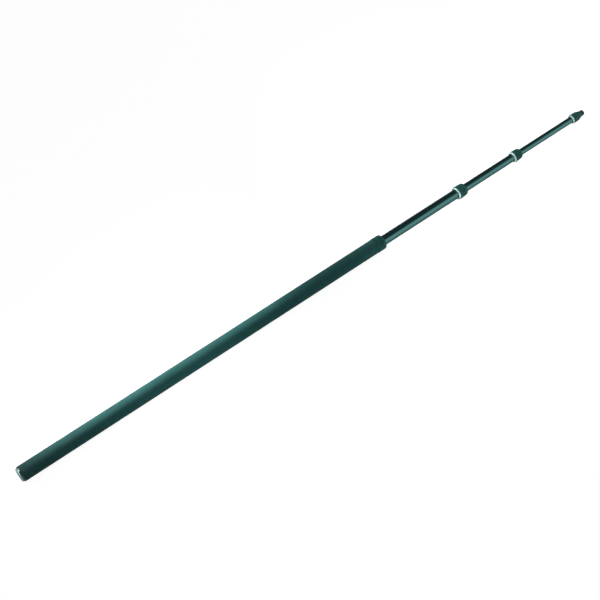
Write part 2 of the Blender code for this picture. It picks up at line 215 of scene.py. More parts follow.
# Where the card's edges begin and end, as y, x and z of the direction looked in
CARD_NEAR_FROM, CARD_NEAR_TO = 0.25, -0.25
CARD_BEHIND_FROM, CARD_BEHIND_TO = -0.3, -0.6
CARD_LOW_FROM, CARD_LOW_TO = 0.80, 0.60

# Lamps: name, place, station of the pole that it points at, size, watts, spread in degrees,
# and whether matt and glossy pieces see it. The reach lamps light the stations that the
# sections come to when they are drawn out
REACH_STATIONS = {"second": 2.18, "third": 2.90, "tip": 3.75}
LAMPS = (
    ("grip_rear_softbox", (0.22, 0.52, 0.33), 0.22, 0.3, 0.76, 40, True, True),
    ("grip_softbox", (0.56, 0.52, 0.33), 0.56, 0.3, 1.19, 60, True, True),
    ("handle_nut_softbox", (1.06, 0.52, 0.33), 1.06, 0.15, 0.16, 50, True, False),
    ("grip_fill", (0.50, -0.60, 0.25), 0.44, 0.3, 0.50, 90, True, False),
    ("front_softbox", (1.38, 0.95, 0.55), 1.38, 0.3, 1.25, 50, True, False),
    ("near_softbox", (1.24, -0.92, 0.14), 1.24, 0.3, 0.82, 60, True, False),
    ("tip_softbox", (1.78, -0.92, 0.14), 1.78, 0.3, 0.32, 50, True, False),
    ("end_softbox", (-0.60, -0.02, 0.03), 0.0, 0.08, 1.8, 180, True, False),
    *(
        (f"{section}_reach_softbox", (x, 0.50, 1.15), x, 0.3, 1.7, 60, True, False)
        for section, x in REACH_STATIONS.items()
    ),
    ("butt_softbox", (0.41, 0.52, 0.33), 0.0, 0.35, 0.18, 30, False, True),
    ("butt_strip", (-0.50, 0.44, 0.55), 0.0, 0.5, 5.5, 45, False, True),
)

BODY_OF = {
    member: body
    for body, members in frame["record"]["behaviour"]["bodies"].items()
    for member in members
}


def add(tree, kind, sockets=None, **settings):
    """Add a node with its settings; each socket, by name or number, takes a value or a link."""
    node = tree.nodes.new(kind)
    for name, value in settings.items():
        setattr(node, name, value)
    for key, value in (sockets or {}).items():
        if isinstance(value, bpy.types.NodeSocket):
            tree.links.new(value, node.inputs[key])
        else:
            node.inputs[key].default_value = value
    return node


def colour(digits):
    """Linear colour of six sRGB hex digits."""
    levels = [int(digits[i : i + 2], 16) / 255 for i in (0, 2, 4)]
    linear = [v / 12.92 if v <= 0.04045 else ((v + 0.055) / 1.055) ** 2.4 for v in levels]
    return (*linear, 1.0)


def per(size):
    """Scale of a texture whose pattern repeats at this real size."""
    return 1.0 / size


def finish_named(name):
    """A new material: its tree, its shader, and the place on the piece that its patterns follow."""
    made = bpy.data.materials.new(name)
    made.use_nodes = True
    tree = made.node_tree
    place = add(tree, "ShaderNodeTexCoord").outputs["Object"]
    return made, tree, tree.nodes["Principled BSDF"], place


def surface(tree, shader, shade, gloss, relief=None):
    """Give a finish its colour, its roughness and, where it has one, its relief."""
    tree.links.new(shade, shader.inputs["Base Color"])
    tree.links.new(gloss, shader.inputs["Roughness"])
    if relief is not None:
        tree.links.new(relief, shader.inputs["Normal"])


def foam_finish():
    """Extruded closed-cell foam, black: dull, with fine cells and faint clouds from handling."""
    made, tree, shader, place = finish_named("foam_closed_cell_extruded")
    cells = add(
        tree,
        "ShaderNodeTexVoronoi",
        {"Vector": place, "Scale": per(FOAM_CELL)},
    ).outputs["Distance"]
    handled = add(
        tree,
        "ShaderNodeTexNoise",
        {"Vector": place, "Scale": per(FOAM_CLOUD), "Detail": 4.0},
    ).outputs["Fac"]
    cloudy = add(
        tree,
        "ShaderNodeMix",
        {"Factor": handled, "A": colour("204A48"), "B": colour("2A5A58")},
        data_type="RGBA",
    ).outputs["Result"]
    pores = add(
        tree,
        "ShaderNodeMapRange",
        {"Value": cells, "From Min": 0.1, "From Max": 0.75, "To Min": 1.06, "To Max": 0.86},
    ).outputs["Result"]
    spotted = add(
        tree,
        "ShaderNodeMix",
        {"Factor": 1.0, "A": cloudy, "B": pores},
        data_type="RGBA",
        blend_type="MULTIPLY",
    ).outputs["Result"]
    dull = add(
        tree,
        "ShaderNodeMapRange",
        {"Value": handled, "To Min": 0.95, "To Max": 0.82},
    ).outputs["Result"]
    relief = add(
        tree,
        "ShaderNodeBump",
        {"Height": cells, "Strength": 0.5, "Distance": 0.12 * MM},
        invert=True,
    ).outputs["Normal"]
    surface(tree, shader, spotted, dull, relief)
    shader.inputs["Specular IOR Level"].default_value = 0.06
    shader.inputs["Sheen Weight"].default_value = 0.10
    return made


def tube_finish():
    """Drawn aluminium tube, black anodised: smooth and glossy, with faint lines along the draw."""
    made, tree, shader, place = finish_named("aluminium_drawn_black_anodised")
    fineness = (per(DRAW_LINE_LENGTH), per(DRAW_LINE_WIDTH), per(DRAW_LINE_WIDTH))
    along = add(tree, "ShaderNodeMapping", {"Vector": place, "Scale": fineness}).outputs["Vector"]
    lines = add(
        tree,
        "ShaderNodeTexNoise",
        {"Vector": along, "Scale": 1.0, "Detail": 3.0},
    ).outputs["Fac"]
    dyed = add(
        tree,
        "ShaderNodeMix",
        {"Factor": lines, "A": colour("457472"), "B": colour("568886")},
        data_type="RGBA",
    ).outputs["Result"]
    gloss = add(
        tree,
        "ShaderNodeMapRange",
        {"Value": lines, "To Min": 0.14, "To Max": 0.24},
    ).outputs["Result"]
    relief = add(
        tree,
        "ShaderNodeBump",
        {"Height": lines, "Strength": 0.15, "Distance": 0.02 * MM},
    ).outputs["Normal"]
    surface(tree, shader, dyed, gloss, relief)
    shader.inputs["Metallic"].default_value = 1.0
    return made


def moulded_finish():
    """Glass-filled nylon, moulded in a spark-eroded tool, black: an even grain and a low sheen."""
    made, tree, shader, place = finish_named("nylon_glass_filled_moulded")
    grain = add(
        tree,
        "ShaderNodeTexNoise",
        {"Vector": place, "Scale": per(MOULD_GRAIN), "Detail": 2.0},
    ).outputs["Fac"]
    flow = add(
        tree,
        "ShaderNodeTexNoise",
        {"Vector": place, "Scale": per(MOULD_FLOW), "Detail": 3.0},
    ).outputs["Fac"]
    shade = add(
        tree,
        "ShaderNodeMix",
        {"Factor": flow, "A": colour("1C4643"), "B": colour("275651")},
        data_type="RGBA",
    ).outputs["Result"]
    gloss = add(
        tree,
        "ShaderNodeMapRange",
        {"Value": grain, "To Min": 0.42, "To Max": 0.62},
    ).outputs["Result"]
    relief = add(
        tree,
        "ShaderNodeBump",
        {"Height": grain, "Strength": 0.35, "Distance": 0.04 * MM},
    ).outputs["Normal"]
    surface(tree, shader, shade, gloss, relief)
    shader.inputs["Specular IOR Level"].default_value = 0.22
    return made


def rubber_finish():
    """Moulded rubber, black: matt, with rib tops a little paler than the grooves: partly wear from
    handling, partly painted shade in the grooves.
    """
    made, tree, shader, place = finish_named("rubber_ribbed_moulded")
    groove = add(tree, "ShaderNodeAttribute", attribute_name="groove").outputs["Fac"]
    dust = add(
        tree,
        "ShaderNodeTexNoise",
        {"Vector": place, "Scale": per(RUBBER_DUST), "Detail": 5.0},
    ).outputs["Fac"]
    top = add(
        tree,
        "ShaderNodeMix",
        {"Factor": dust, "A": colour("22504C"), "B": colour("2F635E")},
        data_type="RGBA",
    ).outputs["Result"]
    # The grooves take a darker colour: painted shade in the grooves, beside the tops' wear from
    # handling
    shade = add(
        tree,
        "ShaderNodeMix",
        {"Factor": groove, "A": top, "B": colour("153431")},
        data_type="RGBA",
    ).outputs["Result"]
    dull = add(
        tree,
        "ShaderNodeMapRange",
        {"Value": dust, "To Min": 0.52, "To Max": 0.70},
    ).outputs["Result"]
    relief = add(
        tree,
        "ShaderNodeBump",
        {"Height": dust, "Strength": 0.25, "Distance": 0.05 * MM},
    ).outputs["Normal"]
    surface(tree, shader, shade, dull, relief)
    shader.inputs["Specular IOR Level"].default_value = 0.15
    return made


def white_finish():
    """Natural nylon, turned: near white, waxy, with fine rings from the tool."""
    made, tree, shader, place = finish_named("nylon_natural_turned")
    rings = add(
        tree,
        "ShaderNodeTexWave",
        {"Vector": place, "Scale": per(TOOL_RING) / math.tau, "Distortion": 1.5, "Detail": 1.0},
        bands_direction="X",
    ).outputs["Fac"]
    cloud = add(
        tree,
        "ShaderNodeTexNoise",
        {"Vector": place, "Scale": per(NYLON_CLOUD), "Detail": 3.0},
    ).outputs["Fac"]
    shade = add(
        tree,
        "ShaderNodeMix",
        {"Factor": cloud, "A": colour("C2E8E3"), "B": colour("D4F6F2")},
        data_type="RGBA",
    ).outputs["Result"]
    gloss = add(
        tree,
        "ShaderNodeMapRange",
        {"Value": cloud, "To Min": 0.32, "To Max": 0.46},
    ).outputs["Result"]
    relief = add(
        tree,
        "ShaderNodeBump",
        {"Height": rings, "Strength": 0.12, "Distance": 0.03 * MM},
    ).outputs["Normal"]
    surface(tree, shader, shade, gloss, relief)
    return made


def cap_finish():
    """Hard plastic, black: glossy on the flange, grey and scratched where it is set down, the end's
    grey partly a painted reflection of the white surround.
    """
    made, tree, shader, place = finish_named("plastic_hard_moulded_scuffed_painted_reflection")
    along = add(tree, "ShaderNodeSeparateXYZ", {"Vector": place}).outputs["X"]
    end = add(
        tree,
        "ShaderNodeMapRange",
        {"Value": along, "From Min": CAP_DOME_LENGTH + GREY_END_FADE, "From Max": CAP_DOME_LENGTH},
    ).outputs["Result"]
    cloud = add(
        tree,
        "ShaderNodeTexNoise",
        {"Vector": place, "Scale": per(CAP_CLOUD), "Detail": 4.0},
    ).outputs["Fac"]
    fineness = tuple(per(size) for size in SCRATCH_SIZES)
    strokes = add(
        tree,
        "ShaderNodeMapping",
        {"Vector": place, "Rotation": (SCRATCH_TURN, 0.0, 0.0), "Scale": fineness},
    ).outputs["Vector"]
    streaks = add(
        tree,
        "ShaderNodeTexNoise",
        {"Vector": strokes, "Scale": 1.0, "Detail": 3.0},
    ).outputs["Fac"]
    scratches = add(
        tree,
        "ShaderNodeMapRange",
        {"Value": streaks, "From Min": 0.56, "From Max": 0.70},
    ).outputs["Result"]
    black = add(
        tree,
        "ShaderNodeMix",
        {"Factor": cloud, "A": colour("16403D"), "B": colour("204F4B")},
        data_type="RGBA",
    ).outputs["Result"]
    # The end's grey is scuffing, and partly a painted reflection of the white surround behind the
    # butt
    grey = add(
        tree,
        "ShaderNodeMix",
        {"Factor": cloud, "A": colour("5A8683"), "B": colour("719C99")},
        data_type="RGBA",
    ).outputs["Result"]
    scuffs_and_painted_reflection = add(
        tree,
        "ShaderNodeMix",
        {"Factor": scratches, "A": grey, "B": colour("7FAAA7")},
        data_type="RGBA",
    ).outputs["Result"]
    shade = add(
        tree,
        "ShaderNodeMix",
        {"Factor": end, "A": black, "B": scuffs_and_painted_reflection},
        data_type="RGBA",
    ).outputs["Result"]
    dulled = add(
        tree,
        "ShaderNodeMapRange",
        {
            "Value": streaks,
            "From Min": NOISE_LOW,
            "From Max": NOISE_HIGH,
            "To Min": 0.40,
            "To Max": 0.62,
        },
    ).outputs["Result"]
    gloss = add(tree, "ShaderNodeMix", {"Factor": end, "A": 0.12, "B": dulled}).outputs["Result"]
    relief = add(
        tree,
        "ShaderNodeBump",
        {"Height": streaks, "Strength": 0.1, "Distance": 0.05 * MM},
    ).outputs["Normal"]
    surface(tree, shader, shade, gloss, relief)
    return made


def stud_finish():
    """Steel, turned and black oxidised: dark satin metal, rubbed paler on the thread's crests."""
    made, tree, shader, place = finish_named("steel_turned_black_oxide")
    groove = add(tree, "ShaderNodeAttribute", attribute_name="groove").outputs["Fac"]
    film = add(
        tree,
        "ShaderNodeTexNoise",
        {"Vector": place, "Scale": per(OXIDE_FILM), "Detail": 4.0},
    ).outputs["Fac"]
    rubbed = add(
        tree,
        "ShaderNodeMix",
        {"Factor": film, "A": colour("365A57"), "B": colour("4A736F")},
        data_type="RGBA",
    ).outputs["Result"]
    shade = add(
        tree,
        "ShaderNodeMix",
        {"Factor": groove, "A": rubbed, "B": colour("203F3C")},
        data_type="RGBA",
    ).outputs["Result"]
    gloss = add(
        tree,
        "ShaderNodeMapRange",
        {"Value": film, "To Min": 0.30, "To Max": 0.48},
    ).outputs["Result"]
    relief = add(
        tree,
        "ShaderNodeBump",
        {"Height": film, "Strength": 0.1, "Distance": 0.02 * MM},
    ).outputs["Normal"]
    surface(tree, shader, shade, gloss, relief)
    shader.inputs["Metallic"].default_value = 0.9
    return made


def acetal_finish():
    """Natural acetal, turned: off-white and slick, a little grey where it runs in the tube."""
    made, tree, shader, place = finish_named("acetal_natural_turned")
    fineness = (per(RUB_LENGTH), per(RUB_WIDTH), per(RUB_WIDTH))
    rub = add(tree, "ShaderNodeMapping", {"Vector": place, "Scale": fineness}).outputs["Vector"]
    marks = add(
        tree,
        "ShaderNodeTexNoise",
        {"Vector": rub, "Scale": 1.0, "Detail": 4.0},
    ).outputs["Fac"]
    shade = add(
        tree,
        "ShaderNodeMix",
        {"Factor": marks, "A": colour("C9D0CA"), "B": colour("E2E6E0")},
        data_type="RGBA",
    ).outputs["Result"]
    gloss = add(
        tree,
        "ShaderNodeMapRange",
        {"Value": marks, "To Min": 0.28, "To Max": 0.42},
    ).outputs["Result"]
    surface(tree, shader, shade, gloss)
    return made


FINISHES = {
    "foam": foam_finish(),
    "tube": tube_finish(),
    "moulded": moulded_finish(),
    "rubber": rubber_finish(),
    "white": white_finish(),
    "cap": cap_finish(),
    "stud": stud_finish(),
    "acetal": acetal_finish(),
}


def new_tree(name, sizes):
    """An empty geometry tree, and its inputs: a piece, a finish and these sizes."""
    tree = bpy.data.node_groups.new(name, "GeometryNodeTree")
    tree.interface.new_socket(name="Piece", in_out="INPUT", socket_type="NodeSocketGeometry")
    tree.interface.new_socket(name="Finish", in_out="INPUT", socket_type="NodeSocketMaterial")
    for size in sizes:
        tree.interface.new_socket(name=size, in_out="INPUT", socket_type="NodeSocketFloat")
    tree.interface.new_socket(name="Piece", in_out="OUTPUT", socket_type="NodeSocketGeometry")
    return tree, add(tree, "NodeGroupInput").outputs


def end_tree(tree, inputs, piece):
    """Close a tree: real faces and the piece's finish."""
    real = add(tree, "GeometryNodeRealizeInstances", {"Geometry": piece}).outputs["Geometry"]
    dressed = add(
        tree,
        "GeometryNodeSetMaterial",
        {"Geometry": real, "Material": inputs["Finish"]},
    ).outputs["Geometry"]
    add(tree, "NodeGroupOutput", {"Piece": dressed})
    return tree


def wall_of(tree, inputs):
    """Where a point of a turned piece is: its x, y and z, its outward direction, and its share.

    The share is 1 on the wall at Wall's radius and fades to 0 at Start and End, within Run out.
    """
    place = add(tree, "GeometryNodeInputPosition").outputs["Position"]
    spot = add(tree, "ShaderNodeSeparateXYZ", {"Vector": place}).outputs
    across = add(tree, "ShaderNodeCombineXYZ", {"Y": spot["Y"], "Z": spot["Z"]}).outputs["Vector"]
    outward = add(
        tree,
        "ShaderNodeVectorMath",
        {0: across},
        operation="NORMALIZE",
    ).outputs["Vector"]
    radius = add(tree, "ShaderNodeVectorMath", {0: across}, operation="LENGTH").outputs["Value"]
    on_wall = add(
        tree,
        "ShaderNodeMath",
        {0: radius, 1: inputs["Wall"], 2: inputs["Wall room"]},
        operation="COMPARE",
    ).outputs[0]
    after = add(
        tree,
        "ShaderNodeMath",
        {0: spot["X"], 1: inputs["Start"]},
        operation="SUBTRACT",
    ).outputs[0]
    before = add(
        tree,
        "ShaderNodeMath",
        {0: inputs["End"], 1: spot["X"]},
        operation="SUBTRACT",
    ).outputs[0]
    inside = add(tree, "ShaderNodeMath", {0: after, 1: before}, operation="MINIMUM").outputs[0]
    faded = add(
        tree,
        "ShaderNodeMapRange",
        {"Value": inside, "From Min": 0.0, "From Max": inputs["Run out"]},
    ).outputs["Result"]
    share = add(tree, "ShaderNodeMath", {0: on_wall, 1: faded}, operation="MULTIPLY").outputs[0]
    return spot, outward, share


def groove_tree():
    """Cuts grooves in a round wall: straight ribs where Lines is 0, a thread where Starts is 1."""
    tree, inputs = new_tree(
        "grooves_in_round_wall",
        (
            "Wall",
            "Wall room",
            "Start",
            "End",
            "Run out",
            "Starts",
            "Lines",
            "Crest",
            "Root",
            "Depth",
        ),
    )
    spot, outward, share = wall_of(tree, inputs)
    angle = add(
        tree,
        "ShaderNodeMath",
        {0: spot["Y"], 1: spot["Z"]},
        operation="ARCTAN2",
    ).outputs[0]
    turns = add(tree, "ShaderNodeMath", {0: angle, 1: math.tau}, operation="DIVIDE").outputs[0]
    round_count = add(
        tree,
        "ShaderNodeMath",
        {0: turns, 1: inputs["Starts"]},
        operation="MULTIPLY",
    ).outputs[0]
    count = add(
        tree,
        "ShaderNodeMath",
        {0: spot["X"], 1: inputs["Lines"], 2: round_count},
        operation="MULTIPLY_ADD",
    ).outputs[0]
    from_crest = add(tree, "ShaderNodeMath", {0: count, 1: 0.5}, operation="PINGPONG").outputs[0]
    cut = add(
        tree,
        "ShaderNodeMapRange",
        {"Value": from_crest, "From Min": inputs["Crest"], "From Max": inputs["Root"]},
    ).outputs["Result"]
    groove = add(tree, "ShaderNodeMath", {0: cut, 1: share}, operation="MULTIPLY").outputs[0]
    depth = add(
        tree,
        "ShaderNodeMath",
        {0: groove, 1: inputs["Depth"]},
        operation="MULTIPLY",
    ).outputs[0]
    inward = add(tree, "ShaderNodeMath", {0: depth, 1: -1.0}, operation="MULTIPLY").outputs[0]
    move = add(
        tree,
        "ShaderNodeVectorMath",
        {0: outward, "Scale": inward},
        operation="SCALE",
    ).outputs["Vector"]
    marked = add(
        tree,
        "GeometryNodeStoreNamedAttribute",
        {"Geometry": inputs["Piece"], "Name": "groove", "Value": groove},
    ).outputs["Geometry"]
    cut_piece = add(tree, "GeometryNodeSetPosition", {"Geometry": marked, "Offset": move})
    return end_tree(tree, inputs, cut_piece.outputs["Geometry"])


def swell_tree():
    """Lays a soft wall in slow waves, up to Height deep and about Length long."""
    tree, inputs = new_tree(
        "slow_waves_in_soft_wall",
        ("Wall", "Wall room", "Start", "End", "Run out", "Height", "Length"),
    )
    _, outward, share = wall_of(tree, inputs)
    place = add(tree, "GeometryNodeInputPosition").outputs["Position"]
    fineness = add(
        tree,
        "ShaderNodeMath",
        {0: 1.0, 1: inputs["Length"]},
        operation="DIVIDE",
    ).outputs[0]
    waves = add(
        tree,
        "ShaderNodeTexNoise",
        {"Vector": place, "Scale": fineness, "Detail": 1.0},
    ).outputs["Fac"]
    level = add(
        tree,
        "ShaderNodeMapRange",
        {
            "Value": waves,
            "From Min": NOISE_LOW,
            "From Max": NOISE_HIGH,
            "To Min": -1.0,
            "To Max": 0.0,
        },
    ).outputs["Result"]
    height = add(
        tree,
        "ShaderNodeMath",
        {0: level, 1: inputs["Height"]},
        operation="MULTIPLY",
    ).outputs[0]
    rise = add(tree, "ShaderNodeMath", {0: height, 1: share}, operation="MULTIPLY").outputs[0]
    move = add(
        tree,
        "ShaderNodeVectorMath",
        {0: outward, "Scale": rise},
        operation="SCALE",
    ).outputs["Vector"]
    laid = add(tree, "GeometryNodeSetPosition", {"Geometry": inputs["Piece"], "Offset": move})
    return end_tree(tree, inputs, laid.outputs["Geometry"])


def slot_tree():
    """Cuts slots through a collet's front end, evenly round the axis."""
    tree, inputs = new_tree(
        "slots_between_fingers",
        ("Count", "Start", "Length", "Width", "Bore", "Reach"),
    )
    size = add(
        tree,
        "ShaderNodeCombineXYZ",
        {"X": inputs["Length"], "Y": inputs["Width"], "Z": inputs["Reach"]},
    ).outputs["Vector"]
    block = add(tree, "GeometryNodeMeshCube", {"Size": size}).outputs["Mesh"]
    middle_x = add(
        tree,
        "ShaderNodeMath",
        {0: inputs["Length"], 1: 0.5, 2: inputs["Start"]},
        operation="MULTIPLY_ADD",
    ).outputs[0]
    middle = add(
        tree,
        "ShaderNodeCombineXYZ",
        {"X": middle_x, "Z": inputs["Bore"]},
    ).outputs["Vector"]
    moved = add(
        tree,
        "GeometryNodeTransform",
        {"Geometry": block, "Translation": middle},
    ).outputs["Geometry"]
    axis = add(
        tree,
        "GeometryNodeMeshLine",
        {"Count": inputs["Count"], "Offset": (0.0, 0.0, 0.0)},
    ).outputs["Mesh"]
    index = add(tree, "GeometryNodeInputIndex").outputs["Index"]
    step = add(
        tree,
        "ShaderNodeMath",
        {0: math.tau, 1: inputs["Count"]},
        operation="DIVIDE",
    ).outputs[0]
    turn = add(tree, "ShaderNodeMath", {0: index, 1: step}, operation="MULTIPLY").outputs[0]
    turned_by = add(tree, "ShaderNodeCombineXYZ", {"X": turn}).outputs["Vector"]
    blocks = add(
        tree,
        "GeometryNodeInstanceOnPoints",
        {"Points": axis, "Instance": moved, "Rotation": turned_by},
    ).outputs["Instances"]
    real = add(tree, "GeometryNodeRealizeInstances", {"Geometry": blocks}).outputs["Geometry"]
    split = add(
        tree,
        "GeometryNodeMeshBoolean",
        {"Mesh 1": inputs["Piece"], "Mesh 2": real},
        operation="DIFFERENCE",
        solver="EXACT",
    ).outputs["Mesh"]
    return end_tree(tree, inputs, split)


GROOVES = groove_tree()
SWELLS = swell_tree()
SLOTS = slot_tree()


def smooth(mesh):
    """Shade a mesh smooth, except over its sharp edges."""
    mesh.shade_smooth()
    mesh.set_sharp_from_angle(angle=SHARP_ANGLE)


def run(piece, tree, **sizes):
    """Run a tree on a piece with these sizes, and keep the result as the piece's plain mesh."""
    wanted = {name.replace("_", " "): value for name, value in sizes.items()}
    wanted["finish"] = piece.data.materials[0]
    modifier = piece.modifiers.new(tree.name, "NODES")
    modifier.node_group = tree
    for socket in tree.interface.items_tree:
        if socket.in_out == "INPUT" and socket.name.lower() in wanted:
            modifier[socket.identifier] = wanted[socket.name.lower()]
    graph = bpy.context.evaluated_depsgraph_get()
    made = bpy.data.meshes.new_from_object(piece.evaluated_get(graph))
    piece.modifiers.clear()
    piece.data = made
    smooth(made)


def eased(corners):
    """An outline of (x, radius) points from corners of (x, radius, rounding)."""
    points = []
    for index, (x, radius, rounding) in enumerate(corners):
        here = Vector((x, radius))
        if not rounding:
            points.append((x, radius))
            continue
        before = Vector(corners[index - 1][:2])
        after = Vector(corners[(index + 1) % len(corners)][:2])
        start = here + (before - here).normalized() * rounding
        end = here + (after - here).normalized() * rounding
        for step in range(EASE_STEPS + 1):
            share = step / EASE_STEPS
            point = start.lerp(here, share).lerp(here.lerp(end, share), share)
            points.append((point.x, point.y))
    return points


def divided(points, row, low, high):
    """The outline with rows no longer than this on its stretches between two radii."""
    made = []
    for here, after in zip(points, points[1:] + points[:1]):
        made.append(here)
        length = math.dist(here, after)
        if length > row and all(low <= point[1] <= high for point in (here, after)):
            count = math.ceil(length / row)
            for step in range(1, count):
                share = step / count
                x = here[0] + (after[0] - here[0]) * share
                radius = here[1] + (after[1] - here[1]) * share
                made.append((x, radius))
    return made


def turned(name, outline, station, finish, segments=ROUND_SEGMENTS):
    """Spin an outline about the pole's axis; one that starts and ends on it makes a solid piece."""
    shape = bmesh.new()
    corners = [shape.verts.new((station + x, 0.0, radius)) for x, radius in outline]
    edges = [shape.edges.new(pair) for pair in zip(corners, corners[1:])]
    if outline[0][1] > 0.0:
        edges.append(shape.edges.new((corners[-1], corners[0])))
    bmesh.ops.spin(
        shape,
        geom=corners + edges,
        cent=(0, 0, 0),
        axis=(1, 0, 0),
        angle=math.tau,
        steps=segments,
        use_merge=True,
    )
    bmesh.ops.remove_doubles(shape, verts=shape.verts, dist=WELD_DISTANCE)
    bmesh.ops.recalc_face_normals(shape, faces=shape.faces)
    mesh = bpy.data.meshes.new(name)
    shape.to_mesh(mesh)
    shape.free()
    smooth(mesh)
    mesh.materials.append(FINISHES[finish])
    piece = bpy.data.objects.new(name, mesh)
    bpy.context.collection.objects.link(piece)
    return piece


def stands_for(piece, node):
    """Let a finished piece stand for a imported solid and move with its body."""
    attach(piece, BODY_OF[node])
    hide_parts(node)


def reach(node):
    """Rear station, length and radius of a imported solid."""
    low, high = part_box(node)
    return low.x, high.x - low.x, high.z / FLAT_SHARE


def tube(node):
    """A sliding tube, with its cut ends broken."""
    start, length, radius = reach(node)
    inner = radius - TUBE_WALL
    corners = [(0.0, inner, TUBE_EDGE), (0.0, radius, TUBE_EDGE)]
    corners += [(length, radius, TUBE_EDGE), (length, inner, TUBE_EDGE)]
    piece = turned(f"{node}_drawn", eased(corners), start, "tube")
    stands_for(piece, node)


def foam_grip():
    """The foam sleeve on the handle tube, soft and a little uneven."""
    start, length, radius = reach("foam_grip")
    inner = reach("handle_tube")[2] + FIT_GAP
    corners = [(0.0, inner, FOAM_BORE_EDGE), (0.0, radius, FOAM_ROUND)]
    corners += [(length, radius, FOAM_ROUND), (length, inner, FOAM_BORE_EDGE)]
    half_round = FOAM_ROUND / 2
    outline = divided(eased(corners), FOAM_ROW, radius - half_round, radius + half_round)
    piece = turned("foam_grip_sleeve", outline, start, "foam")
    run(
        piece,
        SWELLS,
        wall=radius,
        wall_room=FOAM_ROUND,
        start=start,
        end=start + length,
        run_out=FOAM_RUN_OUT,
        height=FOAM_SWELL,
        length=FOAM_SWELL_LENGTH,
    )
    stands_for(piece, "foam_grip")


def butt_cap():
    """The end plug: a flat face in a rounded end, then a groove, a flange and a hollow spigot."""
    start, spigot_end = reach("butt_cap")[:2]
    spigot = reach("handle_tube")[2] - TUBE_WALL - FIT_GAP
    groove = CAP_DOME_RADIUS - CAP_GROOVE_DEPTH
    flange_start = CAP_DOME_LENGTH + CAP_GROOVE_WIDTH
    flange_end = flange_start + CAP_FLANGE_LENGTH
    outline = [(0.0, 0.0)]
    for step in range(NOSE_STEPS + 1):
        angle = math.pi - math.pi / 2 * step / NOSE_STEPS
        x = CAP_DOME_LENGTH * (1.0 + math.cos(angle))
        radius = CAP_FACE_RADIUS + (CAP_DOME_RADIUS - CAP_FACE_RADIUS) * math.sin(angle)
        outline.append((x, radius))
    rest = [
        (CAP_DOME_LENGTH, CAP_DOME_RADIUS, 0.0),
        (CAP_DOME_LENGTH, groove, MOULDED_EDGE),
        (flange_start, groove, MOULDED_EDGE),
        (flange_start, CAP_FLANGE_RADIUS, CAP_FLANGE_ROUND),
        (flange_end, CAP_FLANGE_RADIUS, CAP_RIM_ROUND),
        (flange_end, spigot, MOULDED_EDGE),
        (spigot_end, spigot, CAP_RIM_ROUND),
        (spigot_end, spigot - CAP_WALL, MOULDED_EDGE),
        (CAP_FLOOR, spigot - CAP_WALL, CAP_FLOOR_EDGE),
        (CAP_FLOOR, 0.0, 0.0),
    ]
    outline += eased(rest)[1:]
    piece = turned("butt_cap_moulded", outline, start, "cap")
    stands_for(piece, "butt_cap")


def barrel_radius(tube_radius):
    """Outside radius of the collet on a tube, over its threads."""
    return tube_radius + FIT_GAP + COLLET_WALL


def lock_thread(piece, wall, room, start, depth):
    """Cut a lock's screw thread in a collet's barrel or, at a depth below 0, in a nut's bore."""
    run(
        piece,
        GROOVES,
        wall=wall,
        wall_room=room,
        start=start,
        end=start + BARREL_LENGTH,
        run_out=LOCK_PITCH / 2,
        starts=1.0,
        lines=per(LOCK_PITCH),
        crest=LOCK_CREST,
        root=LOCK_ROOT,
        depth=depth,
    )


def collet(name, tube_radius, inner_radius, start):
    """The nylon sleeve on a tube's front end: a ring behind the nut, a thread and split fingers."""
    node = f"{name}_collet"
    seat = tube_radius + FIT_GAP
    barrel = barrel_radius(tube_radius)
    bore = inner_radius + FIT_GAP
    rear = reach(node)[0] - start
    small = TURNED_EDGE
    corners = [(TUBE_SEAT, bore, small), (TUBE_SEAT, seat, small), (rear, seat, small)]
    if name == "handle":
        corners.append((rear, barrel, 2 * small))
    else:
        ring = barrel + RING_STEP
        corners += [(rear, ring, RING_ROUND), (-FIT_GAP, ring, small), (-FIT_GAP, barrel, small)]
    corners += [
        (BARREL_LENGTH, barrel, small),
        (FINGER_END, bore + FINGER_TIP, 2 * small),
        (FINGER_END, bore, small),
    ]
    outline = divided(eased(corners), LOCK_ROW, barrel - small, barrel + small)
    piece = turned(f"{node}_turned", outline, start, "white")
    lock_thread(piece, barrel, small, start, LOCK_DEPTH)
    run(
        piece,
        SLOTS,
        count=SLOT_COUNT,
        start=start + SLOT_START,
        length=FINGER_END - SLOT_START + SLOT_WIDTH,
        width=SLOT_WIDTH,
        bore=(bore + barrel) / 2,
        reach=barrel - bore + 2 * SLOT_WIDTH,
    )
    stands_for(piece, node)


def nut_outside(name):
    """Where a nut's nose starts, and its outside radius at a station, which tapers to there."""
    length, rear = reach(f"{name}_nut")[1:]
    nose_start = length - NUT_NOSE

    def outside(x):
        return rear - NUT_TAPER[name] * x / nose_start

    return nose_start, outside


